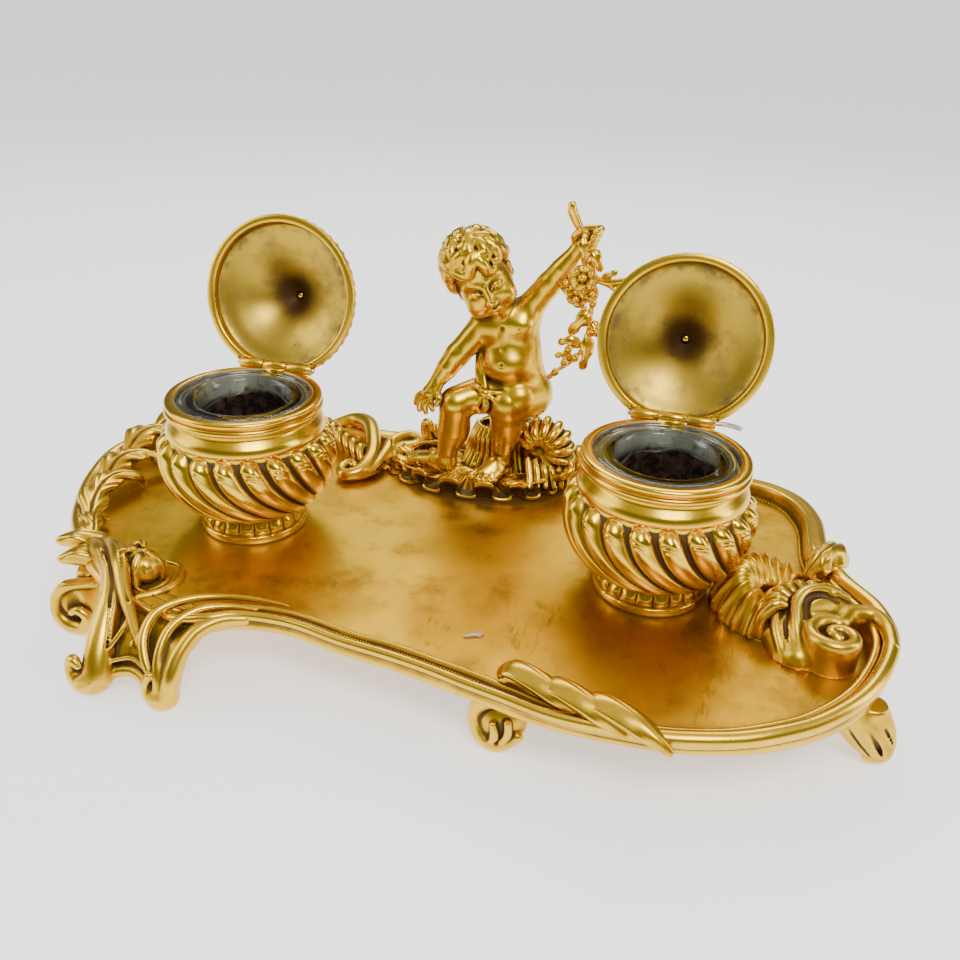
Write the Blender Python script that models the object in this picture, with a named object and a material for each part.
"""Double inkstand: a gilt tray on six feet, two lidded inkwells and a seated putto.

All sizes below are in millimetres. X runs through both wells, +Y points to the
back of the stand, +Z is up, and z = 0 is the surface that the feet stand on.
"""
import math

import bmesh
import bpy
from mathutils import Matrix, Vector

MM = 0.001
GAP = 0.3

# Tray
FLOOR_Z = 24.0
TRAY_UNDER = 21.0
RIM_WIDTH = 9.5
OUTLINE_STEPS = 2
# x, y and rim height above the floor, anticlockwise from the front left leg
OUTLINE = [
    (-86, -87, 4), (-72, -82, 5), (-64, -75, 5), (-54, -69, 5), (-38, -67.5, 5), (-15, -72, 5),
    (8, -75.5, 5), (32, -81, 5), (58, -87, 5), (80, -88, 5), (103, -86, 5), (125, -79, 6),
    (145, -66, 7), (160, -48, 9), (168.5, -24, 11), (165, -4, 12), (155, 14, 11), (149, 34, 10),
    (148, 62, 8), (139, 83, 7), (120, 94, 6), (90, 95, 5), (55, 92, 5), (25, 95, 5), (0, 97.5, 5),
    (-25, 95, 5), (-55, 90, 6), (-85, 86, 7), (-118, 84, 7), (-146, 71, 8), (-162, 50, 8),
    (-168, 27, 8), (-165, 5, 7), (-156, -16, 7), (-146, -33, 7), (-132, -48, 7), (-119, -63, 6),
    (-104, -80, 5),
]

# Inkwells
WELL_X = 82.0
BOWL_FOOT = FLOOR_Z + GAP
BOWL_TOP = 66.0
BORE_R = 26.5
COLLAR_TOP = 80.7
GLASS_TOP = 80.2
GADROONS = 20
LID_OPEN_DEG = 105.0
LID_R = 32.5
HINGE_Y = 28.8
HINGE_Z = 81.6
KNUCKLE_R = 2.2
PIN_R = 0.9
PIN_BORE_R = 1.25
CENTRE_KNUCKLE = 5.0
HINGE_HALF = 16.0

# Fixings
SCREW_R = 1.4
SCREW_HEAD_R = 2.9
SCREW_HEAD_H = 2.2
SCREW_HOLE_R = 1.8
BOLT_R = 2.0
BOLT_HOLE_R = 2.5
STUD_R = 1.5
FOOT_TOP = TRAY_UNDER - GAP
PAD_BOTTOM = 14.5

# Figure and mound
PLATEAU_Z = 31.0
SEAT_Z = 57.0
STUD_AT = (15.0, 72.0)
MOUND_SCREWS = [(-24.0, 64.0), (30.0, 70.0)]
MOUND_CENTRE = (-2.0, 65.0)
MOUND_RADII = (36.0, 21.0)
RUFFLES = 20

GILT = (0.83, 0.53, 0.11)


def clear_scene():
    for item in list(bpy.data.objects):
        bpy.data.objects.remove(item, do_unlink=True)


def make_material(name, colour, roughness, metallic, transmission=0.0):
    material = bpy.data.materials.new(name)
    material.use_nodes = True
    shader = material.node_tree.nodes["Principled BSDF"]
    shader.inputs["Base Color"].default_value = (*colour, 1.0)
    shader.inputs["Roughness"].default_value = roughness
    shader.inputs["Metallic"].default_value = metallic
    shader.inputs["Transmission Weight"].default_value = transmission
    return material


def add_object(name, bm, material=None):
    """Turn a bmesh in millimetres into an object in metres."""
    bmesh.ops.scale(bm, vec=(MM, MM, MM), verts=bm.verts)
    bmesh.ops.recalc_face_normals(bm, faces=bm.faces)
    mesh = bpy.data.meshes.new(name)
    bm.to_mesh(mesh)
    bm.free()
    mesh.shade_smooth()
    mesh.set_sharp_from_angle(angle=math.radians(40))
    item = bpy.data.objects.new(name, mesh)
    bpy.context.scene.collection.objects.link(item)
    if material:
        mesh.materials.append(material)
    return item


def add_cutter(name, bm):
    cutter = add_object(name, bm)
    cutter.hide_render = True
    cutter.display_type = "WIRE"
    return cutter


def cut(item, cutter):
    """Subtract the cutter with a live Boolean."""
    modifier = item.modifiers.new(cutter.name, "BOOLEAN")
    modifier.operation = "DIFFERENCE"
    modifier.solver = "EXACT"
    modifier.object = cutter


def join_with(item, other):
    """Unite another solid with the item; the other one stays a guide."""
    other.hide_render = True
    other.display_type = "WIRE"
    modifier = item.modifiers.new(other.name, "BOOLEAN")
    modifier.operation = "UNION"
    modifier.solver = "EXACT"
    modifier.object = other


def remesh(item, voxel, ratio):
    """Melt overlapping solids into one skin and thin it out."""
    melt = item.modifiers.new("melt", "REMESH")
    melt.mode = "VOXEL"
    melt.voxel_size = voxel * MM
    melt.use_smooth_shade = True
    soften = item.modifiers.new("soften", "SMOOTH")
    soften.factor = 0.5
    soften.iterations = 3
    thin = item.modifiers.new("thin", "DECIMATE")
    thin.ratio = ratio


def move(point):
    return Matrix.Translation(Vector(point))


def add_cylinder(bm, radius, bottom, top, at=(0.0, 0.0), sides=12):
    matrix = move((at[0], at[1], (bottom + top) / 2))
    bmesh.ops.create_cone(bm, cap_ends=True, segments=sides, radius1=radius, radius2=radius,
                          depth=top - bottom, matrix=matrix)


def add_box(bm, low, high):
    size = [h - l for l, h in zip(low, high)]
    centre = [(h + l) / 2 for l, h in zip(low, high)]
    matrix = move(centre) @ Matrix.Diagonal((*size, 1.0))
    bmesh.ops.create_cube(bm, size=1.0, matrix=matrix)


def add_x_cylinder(bm, radius, x0, x1, y, z, sides=14):
    turn = Matrix.Rotation(math.pi / 2, 4, "Y")
    bmesh.ops.create_cone(bm, cap_ends=True, segments=sides, radius1=radius, radius2=radius,
                          depth=x1 - x0, matrix=move(((x0 + x1) / 2, y, z)) @ turn)


def add_chain(bm, points, grow=0.0):
    """A limb: balls at the points (x, y, z, radius) with tapered links between them."""
    for x, y, z, radius in points:
        bmesh.ops.create_icosphere(bm, subdivisions=2, radius=radius + grow,
                                   matrix=move((x, y, z)))
    for start, end in zip(points, points[1:]):
        a, b = Vector(start[:3]), Vector(end[:3])
        along = b - a
        turn = along.to_track_quat("Z", "Y").to_matrix().to_4x4()
        bmesh.ops.create_cone(bm, cap_ends=True, segments=16, radius1=start[3] + grow,
                              radius2=end[3] + grow, depth=along.length,
                              matrix=move((a + b) / 2) @ turn)


def add_ellipsoid(bm, centre, radii, grow=0.0):
    size = [r + grow for r in radii]
    bmesh.ops.create_icosphere(bm, subdivisions=3, radius=1.0,
                               matrix=move(centre) @ Matrix.Diagonal((*size, 1.0)))


def turned(bm, profile, sides, shape_at=None):
    """Spin a closed profile of (radius, z) round Z; shape_at may change radius and angle."""
    rings = []
    for index, (radius, z) in enumerate(profile):
        ring = []
        for side in range(sides):
            r, angle = radius, 2 * math.pi * side / sides
            if shape_at:
                r, angle = shape_at(index, side, radius, angle)
            ring.append(bm.verts.new((r * math.cos(angle), r * math.sin(angle), z)))
        rings.append(ring)
    for ring, after in zip(rings, rings[1:] + rings[:1]):
        for side in range(sides):
            nxt = (side + 1) % sides
            bm.faces.new((ring[side], ring[nxt], after[nxt], after[side]))


def closed_curve(points, steps):
    """Points of a smooth closed curve through the given ones (Catmull-Rom)."""
    count = len(points)
    result = []
    for index in range(count):
        p0, p1, p2, p3 = (Vector(points[(index + k) % count]) for k in (-1, 0, 1, 2))
        for step in range(steps):
            t = step / steps
            result.append(0.5 * (2 * p1 + (p2 - p0) * t + (2 * p0 - 5 * p1 + 4 * p2 - p3) * t ** 2
                                 + (3 * p1 - p0 - 3 * p2 + p3) * t ** 3))
    return result


def build_tray(gilt):
    # share of the rim's width inwards, and the height's share above the floor
    profile = [(0.30, None), (0.0, 0.0), (0.06, 0.80), (0.28, 0.85), (0.45, 0.50), (0.75, 1.0),
               (0.90, 0.85), (1.0, 0.0)]
    curve = closed_curve(OUTLINE, OUTLINE_STEPS)
    count = len(curve)
    bm = bmesh.new()
    rings = [[] for _ in profile]
    for index, point in enumerate(curve):
        along = curve[(index + 1) % count] - curve[index - 1]
        inward = Vector((-along.y, along.x)).normalized()
        for row, (share, height) in enumerate(profile):
            spot = Vector((point.x, point.y)) + inward * share * RIM_WIDTH
            z = TRAY_UNDER if height is None else FLOOR_Z + height * point.z
            rings[row].append(bm.verts.new((spot.x, spot.y, z)))
    for ring, after in zip(rings, rings[1:]):
        for index in range(count):
            nxt = (index + 1) % count
            bm.faces.new((ring[index], ring[nxt], after[nxt], after[index]))
    bm.faces.new(list(reversed(rings[0])))
    bm.faces.new(rings[-1])
    tray = add_object("tray", bm, gilt)
    holes = bmesh.new()
    for side in (-1, 1):
        add_cylinder(holes, BOLT_HOLE_R, TRAY_UNDER - 3, FLOOR_Z + 3, (side * WELL_X, 0))
    add_cylinder(holes, SCREW_HOLE_R + 0.2, TRAY_UNDER - 3, FLOOR_Z + 3, STUD_AT)
    for at in MOUND_SCREWS + [SHELL_SCREW, SCROLL_SCREW]:
        add_cylinder(holes, SCREW_HOLE_R, TRAY_UNDER - 3, FLOOR_Z + 3, at)
    for foot in FEET.values():
        add_cylinder(holes, SCREW_R + GAP, TRAY_UNDER - 3, FLOOR_Z - 0.7, foot["screw"])
    cut(tray, add_cutter("tray_holes", holes))
    return tray


# Each foot: where its screw goes up, and its limbs as chains of (x, y, z, radius)
FEET = {
    "far_left_foot": {
        "screw": (-124.0, -44.0),
        "limbs": [
            [(-124, -44, 17.5, 6.5), (-131, -49, 18, 4.5), (-136, -52, 14, 3.5), (-136, -56, 8, 3.5),
             (-131, -60, 3.2, 4.8), (-125, -61, 3.6, 4), (-121, -58, 9, 3)],
            [(-128, -47, 18, 5), (-126, -55, 14, 3.5), (-122, -57, 9, 3)],
        ],
    },
    "front_left_foot": {
        "screw": (-92.0, -72.0),
        "limbs": [
            [(-92, -72, 17.5, 6.5), (-101, -82, 17.5, 4), (-102, -87, 10, 3.8), (-103, -91, 3.4, 5.2),
             (-107, -92, 9, 3)],
            [(-92, -72, 17.5, 6), (-78, -80, 17.5, 4), (-76, -85, 10, 4), (-75, -89, 3.4, 5.2)],
            [(-101, -83, 12, 3), (-89, -84, 13, 3), (-77, -83, 12, 3)],
        ],
    },
    "middle_foot": {
        "screw": (40.0, -65.0),
        "limbs": [
            [(40, -65, 17.5, 6.5), (40, -72, 16, 5), (40, -76, 7.0, 8.6), (36, -77, 9, 6.5)],
        ],
    },
    "right_foot": {
        "screw": (146.0, -38.0),
        "limbs": [
            [(146, -38, 17.5, 6.5), (155, -42, 16, 5.5), (161, -43, 10, 5), (165, -43.5, 3.4, 5.0)],
            [(156, -47, 15, 3.5), (162, -47, 8, 3)],
        ],
    },
    "back_left_foot": {
        "screw": (-98.0, 66.0),
        "limbs": [
            [(-98, 66, 17.5, 6.5), (-101, 72, 16, 5), (-103, 77, 9, 4.5), (-103, 80, 3.4, 5.2)],
        ],
    },
    "back_right_foot": {
        "screw": (112.0, 74.0),
        "limbs": [
            [(112, 74, 17.5, 6.5), (116, 79, 16, 5), (119, 84, 9, 4.5), (119, 87, 3.4, 5.2)],
        ],
    },
}
SHELL_SCREW = (118.0, -6.0)
SCROLL_SCREW = (141.0, -20.0)


def build_foot(name, foot, gilt):
    bm = bmesh.new()
    for limb in foot["limbs"]:
        add_chain(bm, limb)
    item = add_object(name, bm, gilt)
    remesh(item, 0.9, 0.035)
    x, y = foot["screw"]
    trim = bmesh.new()
    add_box(trim, (x - 60, y - 60, FOOT_TOP), (x + 60, y + 60, FOOT_TOP + 20))
    add_box(trim, (x - 60, y - 60, -20), (x + 60, y + 60, 0))
    cut(item, add_cutter(name + "_trim", trim))
    bore = bmesh.new()
    turned_solid(bore, [(SCREW_HEAD_R + 1.2, -5), (SCREW_HEAD_R + 1.2, PAD_BOTTOM),
                        (SCREW_HOLE_R, PAD_BOTTOM), (SCREW_HOLE_R, FOOT_TOP + 5)], 12)
    bmesh.ops.translate(bore, vec=(x, y, 0), verts=bore.verts)
    cut(item, add_cutter(name + "_bore", bore))


def build_screw(name, at, head_bottom, top, steel):
    """A round-headed screw that goes up from below, with a slot across its head."""
    bm = bmesh.new()
    head = head_bottom + SCREW_HEAD_H
    profile = [(0.4, top), (SCREW_R - 0.3, top), (SCREW_R, top - 0.5), (SCREW_R, head),
               (SCREW_HEAD_R, head), (SCREW_HEAD_R, head_bottom + 0.8),
               (SCREW_HEAD_R - 0.7, head_bottom), (0.4, head_bottom)]
    turned_solid(bm, profile, 8)
    screw = add_object(name, bm, steel)
    screw.location = (at[0] * MM, at[1] * MM, 0)
    slot = bmesh.new()
    add_box(slot, (-4, -0.4, head_bottom - 1), (4, 0.4, head_bottom + 0.9))
    cutter = add_cutter(name + "_slot", slot)
    cutter.location = screw.location
    cut(screw, cutter)


def turned_solid(bm, profile, sides):
    """Spin an open profile whose ends lie near the axis, and cap both ends."""
    rings = []
    for radius, z in profile:
        rings.append([bm.verts.new((radius * math.cos(2 * math.pi * k / sides),
                                    radius * math.sin(2 * math.pi * k / sides), z))
                      for k in range(sides)])
    for ring, after in zip(rings, rings[1:]):
        for side in range(sides):
            nxt = (side + 1) % sides
            bm.faces.new((ring[side], ring[nxt], after[nxt], after[side]))
    bm.faces.new(rings[0])
    bm.faces.new(rings[-1])


def gadroon(index, side, radius, angle):
    """Swell the belly's outside rows into lobes that lean one step to the side."""
    if not 2 <= index <= 7:
        return radius, angle
    swell = math.sin(math.pi * (index - 2) / 5)
    groove = 2.4 * swell * (side % 2)
    return radius - groove, angle - math.radians(3.0) * (index - 2)


def build_bowl(name, x, gilt):
    profile = [(21.3, BOWL_FOOT), (21.3, 27.6), (19.5, 30), (27, 41), (33, 48.5), (35.2, 56),
               (33.5, 62), (30, BOWL_TOP), (BORE_R, BOWL_TOP), (BORE_R, 58), (24, 42), (17, 33.5),
               (BOLT_HOLE_R, 33.5), (BOLT_HOLE_R, BOWL_FOOT)]
    bm = bmesh.new()
    turned(bm, profile, 2 * GADROONS, gadroon)
    bowl = add_object(name, bm, gilt)
    bowl.location = (x * MM, 0, 0)


def build_collar(name, x, gilt):
    profile = [(26.2, 60.4), (26.2, BOWL_TOP + GAP), (28.4, BOWL_TOP + GAP), (29.7, 68),
               (27.8, 72.5), (30, 76), (29.4, 78), (30, 79.5), (29, COLLAR_TOP),
               (26.2, COLLAR_TOP), (26.2, 77.2), (23, 77.2), (23, 60.4)]
    bm = bmesh.new()
    turned(bm, profile, 30)
    collar = add_object(name, bm, gilt)
    at = (x * MM, 0, 0)
    collar.location = at
    relief = bmesh.new()
    add_box(relief, (-17, 26.0, 77.4), (17, 36, 90))
    relief_cutter = add_cutter(name + "_relief", relief)
    relief_cutter.location = at
    cut(collar, relief_cutter)
    knuckle = bmesh.new()
    add_x_cylinder(knuckle, KNUCKLE_R, -CENTRE_KNUCKLE, CENTRE_KNUCKLE, HINGE_Y, HINGE_Z)
    knuckle_guide = add_object(name + "_knuckle", knuckle)
    knuckle_guide.location = at
    web = bmesh.new()
    add_box(web, (-CENTRE_KNUCKLE, 26.9, 76.5), (CENTRE_KNUCKLE, HINGE_Y + 0.9, HINGE_Z))
    web_guide = add_object(name + "_web", web)
    web_guide.location = at
    join_with(collar, web_guide)
    join_with(collar, knuckle_guide)
    bore = bmesh.new()
    add_x_cylinder(bore, PIN_BORE_R, -20, 20, HINGE_Y, HINGE_Z)
    bore_cutter = add_cutter(name + "_bore", bore)
    bore_cutter.location = at
    cut(collar, bore_cutter)


def build_liner(name, x, glass):
    profile = [(0.4, 40), (20.6, 40), (21, 42), (21, 77.5), (25.9, 77.5), (25.9, 79.4),
               (25.2, GLASS_TOP), (18.6, GLASS_TOP), (18, 78), (18.4, 46), (16, 44), (0.4, 43.6)]
    bm = bmesh.new()
    turned_solid(bm, profile, 24)
    liner = add_object(name, bm, glass)
    liner.location = (x * MM, 0, 0)


def on_hinge(item, x):
    """Give a lid piece the hinge as its origin and swing it open."""
    item.location = (x * MM, HINGE_Y * MM, HINGE_Z * MM)
    item.rotation_euler = (-math.radians(LID_OPEN_DEG), 0, 0)


def build_lid(side, x, gilt):
    """Modelled closed, with the hinge's axis at the origin."""
    foot = COLLAR_TOP + GAP - HINGE_Z
    profile = [(LID_R, 0), (LID_R, 3.5), (30.4, 4.6), (26.5, 9), (20, 12.2), (13.5, 15.5),
               (9, 19.5), (6, 24.5), (1.6, 24.5), (1.6, 21.5), (5, 18.5), (9, 14), (15, 9.8),
               (22, 6.4), (28.5, 3.4), (28.5, 0)]
    bm = bmesh.new()
    turned(bm, profile, 30)
    bmesh.ops.translate(bm, vec=(0, -HINGE_Y, foot), verts=bm.verts)
    lid = add_object(side + "_lid", bm, gilt)
    on_hinge(lid, x)

    clear = CENTRE_KNUCKLE + 0.4
    reliefs = {
        "chord": ((-30, 1.4, -8), (30, 12, 12)),
        "barrel_bed": ((-HINGE_HALF - 1, -3.1, -6), (HINGE_HALF + 1, 12, 0.4)),
        "knuckle_bed": ((-clear, -3.4, -5), (clear, 13, 3.0)),
    }
    for label, (low, high) in reliefs.items():
        relief = bmesh.new()
        add_box(relief, low, high)
        relief_cutter = add_cutter(f"{side}_lid_{label}", relief)
        on_hinge(relief_cutter, x)
        cut(lid, relief_cutter)

    for end in (-1, 1):
        inner, outer = sorted((end * (CENTRE_KNUCKLE + 0.35), end * HINGE_HALF))
        barrel = bmesh.new()
        add_x_cylinder(barrel, KNUCKLE_R, inner, outer, 0, 0)
        barrel_guide = add_object(f"{side}_lid_barrel_{end}", barrel)
        on_hinge(barrel_guide, x)
        leaf = bmesh.new()
        add_box(leaf, (inner, -1.6, 0.1), (outer, 1.35, 2.9))
        leaf_guide = add_object(f"{side}_lid_leaf_{end}", leaf)
        on_hinge(leaf_guide, x)
        join_with(lid, leaf_guide)
        join_with(lid, barrel_guide)
    bore = bmesh.new()
    add_x_cylinder(bore, PIN_BORE_R, -20, 20, 0, 0)
    bore_cutter = add_cutter(side + "_lid_bore", bore)
    on_hinge(bore_cutter, x)
    cut(lid, bore_cutter)


def build_finial(side, x, gilt):
    base = COLLAR_TOP + GAP - HINGE_Z + 24.5 + GAP
    profile = [(0.4, 11), (2.6, 10.2), (4.2, 7.4), (3.4, 5), (2.2, 3.4), (5, 1.6), (5.2, 0),
               (1.2, 0), (1.2, -3.6), (0.4, -3.6)]
    bm = bmesh.new()
    turned_solid(bm, profile, 14)
    bmesh.ops.translate(bm, vec=(0, -HINGE_Y, base), verts=bm.verts)
    finial = add_object(side + "_finial", bm, gilt)
    on_hinge(finial, x)


def build_pin(side, x, steel):
    """The hinge pin; the right one's tail sticks out and is bent back."""
    points = [(-16.6, 0, 0), (16.6, 0, 0)]
    if side == "right":
        points += [(18.5, 0.2, 0.1), (23.0, 1.6, -0.9), (25.4, 2.4, -1.8)]
    curve = bpy.data.curves.new(side + "_hinge_pin", "CURVE")
    curve.dimensions = "3D"
    curve.bevel_depth = PIN_R * MM
    curve.bevel_resolution = 3
    curve.use_fill_caps = True
    spline = curve.splines.new("POLY")
    spline.points.add(len(points) - 1)
    for spot, (px, py, pz) in zip(spline.points, points):
        spot.co = (px * MM, py * MM, pz * MM, 1)
    curve.materials.append(steel)
    pin = bpy.data.objects.new(side + "_hinge_pin", curve)
    bpy.context.scene.collection.objects.link(pin)
    pin.location = (x * MM, HINGE_Y * MM, HINGE_Z * MM)


def build_well_fixings(side, x, steel):
    """The bolt through bowl and tray, with its washer and nut underneath."""
    head_z = 33.5 + GAP
    bm = bmesh.new()
    add_cylinder(bm, BOLT_R, 14.5, head_z + 1.5)
    bolt = add_object(side + "_bolt", bm, steel)
    head = bmesh.new()
    add_cylinder(head, 4.2, head_z, head_z + 3.2, sides=6)
    head_guide = add_object(side + "_bolt_head", head)
    join_with(bolt, head_guide)
    washer = bmesh.new()
    turned(washer, [(6, TRAY_UNDER - GAP - 1.2), (6, TRAY_UNDER - GAP),
                    (2.4, TRAY_UNDER - GAP), (2.4, TRAY_UNDER - GAP - 1.2)], 18)
    washer_item = add_object(side + "_washer", washer, steel)
    top = TRAY_UNDER - 2 * GAP - 1.2
    nut = bmesh.new()
    add_cylinder(nut, 4.4, top - 3.2, top, sides=6)
    nut_item = add_object(side + "_nut", nut, steel)
    hole = bmesh.new()
    add_cylinder(hole, BOLT_R + GAP, top - 6, top + 3)
    hole_cutter = add_cutter(side + "_nut_hole", hole)
    cut(nut_item, hole_cutter)
    for item in (bolt, head_guide, washer_item, nut_item, hole_cutter):
        item.location = (x * MM, 0, 0)


# The figure's limbs as chains of (x, y, z, radius)
FIGURE = [
    [(9, 66, 104, 5.0), (2, 63, 113, 5.5)],
    [(15, 68, 101, 7.0), (0, 63.5, 97, 6.8)],
    [(8.5, 67, 96, 10.0), (12, 66.5, 84, 10.6), (13.5, 70, 72, 11.5)],
    [(19, 71, 67, 9.8), (20, 71, 64, 9.2)], [(8, 70, 67, 9.5), (9, 71, 64, 8.8)],
    [(15.5, 68, 102, 6.0), (25.5, 69, 113.5, 4.9), (34, 70, 129, 3.4), (37.5, 70.5, 134, 3.8)],
    [(38, 70, 137, 4.4), (40.5, 69, 138, 3.6)],
    [(-2, 62.5, 97, 5.6), (-11.5, 57, 85.5, 4.9), (-18.5, 52, 74.5, 3.2), (-20.5, 50, 70, 3.4)],
    [(-20.5, 50, 70, 2.8), (-22.5, 48.5, 65, 1.6)],
    [(18, 68, 68, 9.6), (12, 60, 67.5, 8.4), (10.5, 57, 65, 7.0)],
    [(10.5, 57.5, 64, 6.9), (10, 61, 52, 6.3), (9.5, 63, 40, 4.2), (9.5, 64, 36, 4.4)],
    [(9.5, 63, 35.5, 4.0), (3, 56.5, 35, 3.9), (-1, 53.5, 34, 3.0)],
    [(8, 66, 67, 8.8), (-5, 56, 67, 7.6), (-11, 53, 65, 6.8)],
    [(-11, 53, 64, 6.8), (-11.5, 54.5, 50, 6.0), (-11.5, 55.5, 40, 4.1), (-11, 56, 36, 4.4)],
    [(-11, 56, 35.5, 4.0), (-21, 58.5, 35, 3.9), (-29, 61, 34, 3.0)],
]
HEAD = [((-5, 61.5, 123), (15.2, 15.5, 15.5)), ((1, 56, 115), (10.5, 9.5, 10.5))]
GARLAND_STEM = [(30.5, 70, 150, 1.5), (32.5, 70.5, 144.5, 1.6), (36, 71, 138.5, 1.6),
                (39.5, 71, 132, 1.7), (41.5, 71, 126, 2.2), (40.5, 69, 119, 3.2),
                (42, 69, 109, 2.6), (42, 69, 101, 3.0), (41, 69, 93, 2.4), (37, 68, 87, 2.6),
                (30.5, 67, 81, 2.0), (27.5, 66, 77.5, 1.6)]
GARLAND_SPRIGS = [
    [(41, 66, 119, 4.2), (37, 61.5, 121.5, 3.2), (39.5, 62, 115.5, 3.8)],
    [(42, 69, 122, 2.2), (49, 69, 120.5, 2.0), (58, 68, 122.5, 1.5)],
    [(42, 70, 128, 2.0), (45.5, 70, 131, 1.6)],
    [(42, 69, 103, 3.0), (37.5, 68, 101, 2.0), (36, 68, 98, 1.4)],
    [(41, 69, 93, 2.0), (41, 69, 84, 1.7)],
    [(37, 68, 87, 2.2), (34, 68, 90, 1.8)],
]


def add_figure(bm, grow=0.0):
    for limb in FIGURE:
        add_chain(bm, limb, grow)
    for centre, radii in HEAD:
        add_ellipsoid(bm, centre, radii, grow)


def build_figure(gilt):
    bm = bmesh.new()
    add_figure(bm)
    putto = add_object("putto", bm, gilt)
    remesh(putto, 1.0, 0.03)
    trim = bmesh.new()
    add_box(trim, (-60, 30, 20), (60, 100, PLATEAU_Z + GAP))
    x, y = STUD_AT
    add_box(trim, (x - 13, y - 4, 50), (x + 13, y + 20, SEAT_Z + GAP))
    cut(putto, add_cutter("putto_trim", trim))
    hole = bmesh.new()
    add_cylinder(hole, STUD_R + GAP, 50, 66, STUD_AT)
    cut(putto, add_cutter("putto_stud_hole", hole))
    grip = bmesh.new()
    add_chain(grip, GARLAND_STEM[:6], 0.9)
    grip_cutter = add_cutter("putto_grip", grip)
    remesh(grip_cutter, 0.5, 0.12)
    cut(putto, grip_cutter)


def build_garland(gilt):
    bm = bmesh.new()
    add_chain(bm, GARLAND_STEM)
    for sprig in GARLAND_SPRIGS:
        add_chain(bm, sprig)
    garland = add_object("garland", bm, gilt)
    remesh(garland, 0.6, 0.06)


def build_mound(gilt):
    """A ruffled shell skirt, the flat top that the feet rest on, and the ribbed seat."""
    bm = bmesh.new()
    sides = RUFFLES * 8
    rows = [(1.0, FLOOR_Z + GAP), (1.03, FLOOR_Z + 3.5), (0.97, FLOOR_Z + 6.2),
            (0.86, FLOOR_Z + 5.2), (0.74, PLATEAU_Z)]
    rings = []
    for row, (share, z) in enumerate(rows):
        ring = []
        for side in range(sides):
            angle = 2 * math.pi * side / sides
            wave = 1 + 0.07 * math.cos(RUFFLES * angle) * (1, 1, 0.8, 0.4, 0)[row]
            spot = (MOUND_CENTRE[0] + MOUND_RADII[0] * share * wave * math.cos(angle),
                    MOUND_CENTRE[1] + MOUND_RADII[1] * share * wave * math.sin(angle), z)
            ring.append(bm.verts.new(spot))
        rings.append(ring)
    for ring, after in zip(rings, rings[1:]):
        for side in range(sides):
            nxt = (side + 1) % sides
            bm.faces.new((ring[side], ring[nxt], after[nxt], after[side]))
    bm.faces.new(list(reversed(rings[0])))
    bm.faces.new(rings[-1])
    for x in (2, 8, 14, 20, 25):
        add_chain(bm, [(x, 76, 28, 6), (x, 73, 44, 5.5), (x - 1, 72, 53, 6)])
    add_chain(bm, [(24, 78, 30, 5), (30, 76, 38, 4.5), (33, 70, 40, 4), (37, 66, 34, 4),
                   (33, 62, 30, 3.5)])
    add_chain(bm, [(-33, 76, 30, 4), (-31, 76, 38, 4)])
    mound = add_object("rocaille_mound", bm, gilt)
    remesh(mound, 0.9, 0.027)
    trim = bmesh.new()
    add_box(trim, (-80, 0, 0), (80, 150, FLOOR_Z + GAP))
    add_box(trim, (-80, 0, SEAT_Z), (80, 150, 120))
    cut(mound, add_cutter("mound_trim", trim))
    clearance = bmesh.new()
    add_figure(clearance, 0.9)
    clearance_cutter = add_cutter("mound_figure_clearance", clearance)
    remesh(clearance_cutter, 1.4, 0.05)
    x, y = STUD_AT
    kept = {"mound_top_kept": ((-80, 0, 0), (80, 150, PLATEAU_Z)),
            "mound_seat_kept": ((x - 12, y - 3.6, 20), (x + 12, y + 19, SEAT_Z))}
    for label, (low, high) in kept.items():
        solid = bmesh.new()
        add_box(solid, low, high)
        cut(clearance_cutter, add_cutter(label, solid))
    cut(mound, clearance_cutter)
    holes = bmesh.new()
    add_cylinder(holes, STUD_R + GAP, 10, 70, STUD_AT)
    for at in MOUND_SCREWS:
        add_cylinder(holes, SCREW_R + GAP, 10, PLATEAU_Z - 1.5, at)
    cut(mound, add_cutter("mound_holes", holes))


def build_putto_fixing(steel):
    bm = bmesh.new()
    add_cylinder(bm, STUD_R, 15.5, 65)
    stud = add_object("putto_stud", bm, steel)
    top = TRAY_UNDER - GAP
    nut = bmesh.new()
    add_cylinder(nut, 4.0, top - 3, top, sides=6)
    nut_item = add_object("putto_nut", nut, steel)
    hole = bmesh.new()
    add_cylinder(hole, STUD_R + GAP, top - 6, top + 3)
    hole_cutter = add_cutter("putto_nut_hole", hole)
    cut(nut_item, hole_cutter)
    for item in (stud, nut_item, hole_cutter):
        item.location = (STUD_AT[0] * MM, STUD_AT[1] * MM, 0)


def build_shell(gilt):
    """A ribbed fan that opens to the left from beside the end scroll."""
    bm = bmesh.new()
    pivot = Vector((126.0, -6.0))
    ribs = 9
    for rib in range(ribs):
        t = rib / (ribs - 1)
        angle = math.radians(255 - 165 * t)
        reach = 18.0
        tip = pivot + Vector((math.cos(angle), math.sin(angle))) * reach
        add_chain(bm, [(pivot.x, pivot.y, 33 + 5 * t, 4.0),
                       ((pivot.x + tip.x) / 2, (pivot.y + tip.y) / 2, 33 + 6 * t, 3.8),
                       (tip.x, tip.y, 26.5 + 9 * t, 2.6)])
    add_chain(bm, [(118, -6, 28, 7), (124, 0, 28, 7)])
    shell = add_object("shell_ornament", bm, gilt)
    remesh(shell, 0.8, 0.045)
    finish_floor_piece(shell, SHELL_SCREW)


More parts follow.
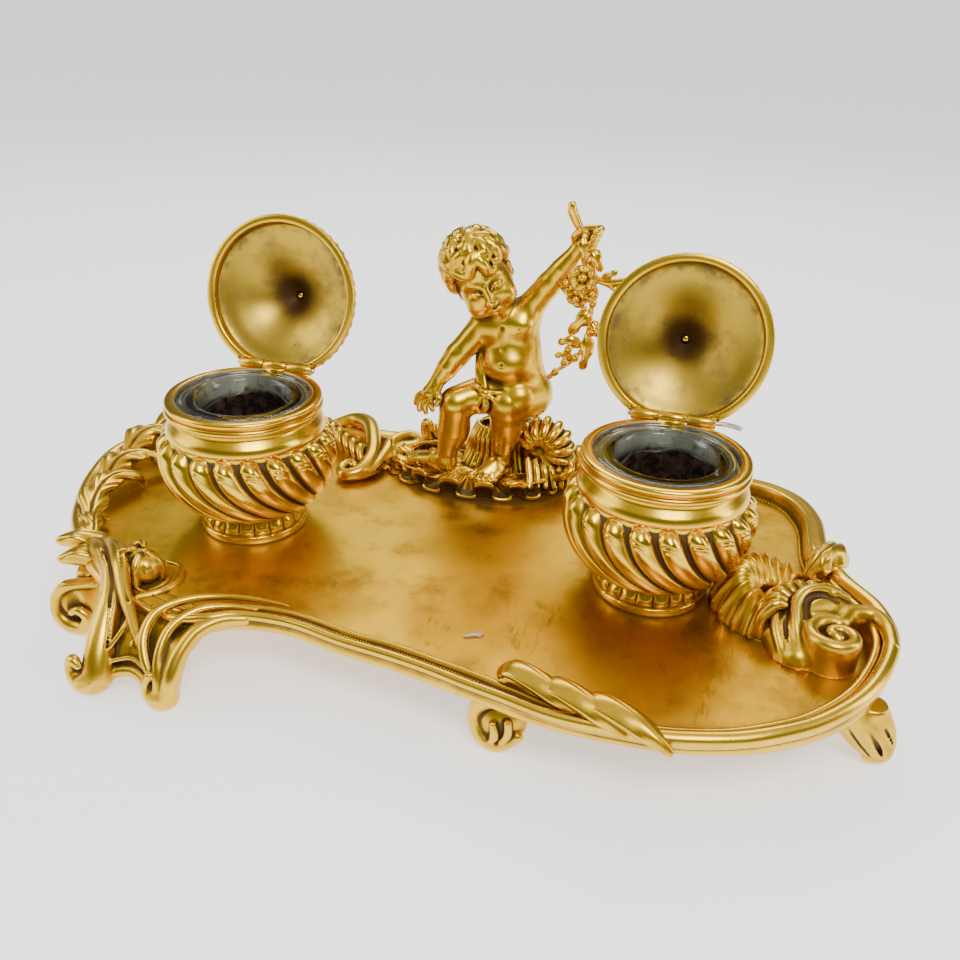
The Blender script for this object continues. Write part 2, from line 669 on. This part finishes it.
def finish_floor_piece(item, screw_at):
    """Flat underside on the tray's floor, and a blind hole for the screw."""
    x, y = screw_at
    trim = bmesh.new()
    add_box(trim, (x - 60, y - 60, 0), (x + 60, y + 60, FLOOR_Z + GAP))
    cut(item, add_cutter(item.name + "_trim", trim))
    hole = bmesh.new()
    add_cylinder(hole, SCREW_R + GAP, 10, FLOOR_Z + 6, screw_at)
    cut(item, add_cutter(item.name + "_hole", hole))


def build_end_scroll(gilt):
    """The volute that the right end curls into, with its wrapping leaf."""
    bm = bmesh.new()
    turns = 1.6
    steps = 22
    eye = Vector((143.0, -29.0))
    spiral = []
    for step in range(steps + 1):
        t = step / steps
        angle = math.radians(35) + turns * 2 * math.pi * t
        reach = 11.5 * (1 - 0.85 * t)
        spot = eye + Vector((math.cos(angle), math.sin(angle))) * reach
        spiral.append((spot.x, spot.y, 36.5 + 1.5 * t, 3.4 - 1.0 * t))
    add_chain(bm, spiral)
    add_cylinder(bm, 11.0, FLOOR_Z, 36, tuple(eye), 32)
    add_chain(bm, [(133, -22, 29, 5), (133, -17, 36, 4.5), (140, -8, 39, 4.5), (148, -8, 37, 5)])
    add_chain(bm, [(133, -16, 28, 5), (142, -8, 30, 7), (146, -15, 32, 8)])
    scroll = add_object("end_scroll", bm, gilt)
    remesh(scroll, 0.9, 0.045)
    finish_floor_piece(scroll, SCROLL_SCREW)


def main():
    clear_scene()
    satin = make_material("gilt_satin", GILT, 0.38, 1.0)
    bright = make_material("gilt_burnished", (0.92, 0.62, 0.16), 0.16, 1.0)
    steel = make_material("fixing_steel", (0.55, 0.53, 0.50), 0.35, 1.0)
    glass = make_material("well_glass", (0.75, 0.80, 0.76), 0.05, 0.0, 0.9)

    build_tray(satin)
    for name, foot in FEET.items():
        build_foot(name, foot, satin)
        build_screw(name + "_screw", foot["screw"], PAD_BOTTOM - GAP - SCREW_HEAD_H,
                    FLOOR_Z - 1.1, steel)
    for side, x in (("left", -WELL_X), ("right", WELL_X)):
        build_bowl(side + "_bowl", x, bright)
        build_collar(side + "_collar", x, bright)
        build_liner(side + "_glass_liner", x, glass)
        build_lid(side, x, satin)
        build_finial(side, x, bright)
        build_pin(side, x, steel)
        build_well_fixings(side, x, steel)
    build_figure(bright)
    build_garland(bright)
    build_mound(satin)
    build_putto_fixing(steel)
    build_shell(satin)
    build_end_scroll(satin)
    under_head = TRAY_UNDER - GAP - SCREW_HEAD_H
    for index, at in enumerate(MOUND_SCREWS, start=1):
        build_screw(f"mound_screw_{index}", at, under_head, PLATEAU_Z - 2, steel)
    build_screw("shell_screw", SHELL_SCREW, under_head, FLOOR_Z + 5.5, steel)
    build_screw("scroll_screw", SCROLL_SCREW, under_head, FLOOR_Z + 5.5, steel)


main()
